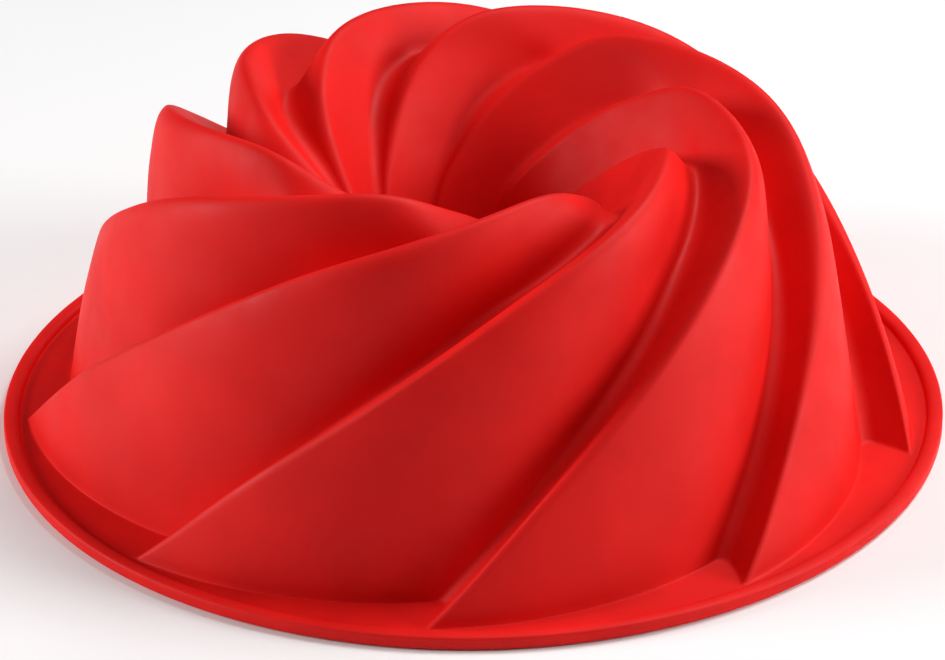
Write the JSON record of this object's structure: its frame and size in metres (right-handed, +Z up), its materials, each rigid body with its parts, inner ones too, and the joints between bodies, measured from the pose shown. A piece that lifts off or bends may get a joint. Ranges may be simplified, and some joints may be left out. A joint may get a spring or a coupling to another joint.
{
  "type": "bundt pan",
  "caption": "Ring-shaped silicone baking mould with swirled lobes, a centre tube and a flat beaded rim, standing upside down on its rim.",
  "frame": {"origin": "centre of the rim plane, on the flat underside of the flange that the pan stands on", "axes": "+Z up from the rim plane to the crown, +X to the right and +Y away from the viewer in the view from which the pan is shown"},
  "size_m": [0.2399, 0.2399, 0.0858],
  "materials": {
    "silicone": "matte moulded silicone with a soft sheen",
    "ring_steel": "bright drawn wire"
  },
  "bodies": {
    "root": {"pan_body": "silicone", "rim_stiffening_ring": "ring_steel"}
  },
  "joints": []
}
